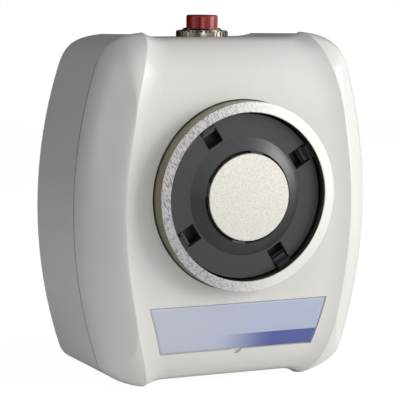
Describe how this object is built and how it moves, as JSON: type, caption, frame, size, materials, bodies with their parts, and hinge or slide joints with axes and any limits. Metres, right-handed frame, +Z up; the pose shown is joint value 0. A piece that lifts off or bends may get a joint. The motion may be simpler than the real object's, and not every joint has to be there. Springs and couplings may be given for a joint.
{
  "type": "electromagnetic door holder",
  "caption": "Wall-mounted electromagnetic door holder: a round pot magnet in a curved two-part plastic housing with a release button on top.",
  "frame": {"origin": "centre of the flat rear face, which lies on the wall", "axes": "+Y runs into the wall, +Z is up, and the magnet faces -Y"},
  "size_m": [0.092, 0.053, 0.1081],
  "materials": {
    "housing_abs": "glossy moulded ABS",
    "label": "glossy domed label",
    "zinc_steel": "zinc plated",
    "pot_steel": "turned, rim ground",
    "core_steel": "fine blasted nickel",
    "black_nylon": "moulded, satin",
    "copper_wire": "enamelled winding wire",
    "coil_tape": "adhesive tape",
    "red_cap": "glossy moulded",
    "switch_plastic": "moulded",
    "contact_brass": "stamped",
    "bushing_nickel": "dull nickel",
    "nut_nickel": "nickel plated, knurled",
    "spring_steel": "drawn wire",
    "grommet_rubber": "moulded",
    "board_laminate": "glass epoxy board",
    "block_plastic": "moulded",
    "diode_epoxy": "moulded epoxy",
    "wire_black": "insulation",
    "wire_red": "insulation",
    "wire_grey": "insulation"
  },
  "bodies": {
    "holder": {"rear_housing": "housing_abs", "front_cover": "housing_abs", "label_plate": "label", "mounting_strap": "zinc_steel", "strap_screws": "zinc_steel", "board_screws": "zinc_steel", "cover_screws": "zinc_steel", "magnet_pot": "pot_steel", "pole_core": "core_steel", "core_washer": "zinc_steel", "core_bolt": "zinc_steel", "coil_bobbin": "black_nylon", "coil_winding": "copper_wire", "coil_wrap": "coil_tape", "button_bushing": "bushing_nickel", "lock_washer": "zinc_steel", "button_nut": "nut_nickel", "switch_body": "switch_plastic", "switch_blades": "contact_brass", "return_spring": "spring_steel", "cable_grommet": "grommet_rubber", "circuit_board": "board_laminate", "terminal_block": "block_plastic", "terminal_screws": "zinc_steel", "suppressor_diode": "diode_epoxy", "coil_lead_left": "wire_black", "coil_lead_right": "wire_red", "switch_lead_left": "wire_grey", "switch_lead_right": "wire_grey"},
    "button": {"button_cap": "red_cap", "button_stem": "switch_plastic", "contact_bridge": "contact_brass"}
  },
  "joints": [
    {"name": "button_press", "type": "slide", "parent": "holder", "child": "button", "axis": [0, 0, -1], "range_m": [0, 0.002], "stiffness_N_per_m": 500, "springref_m": -0.003, "deforming": ["return_spring"]}
  ]
}
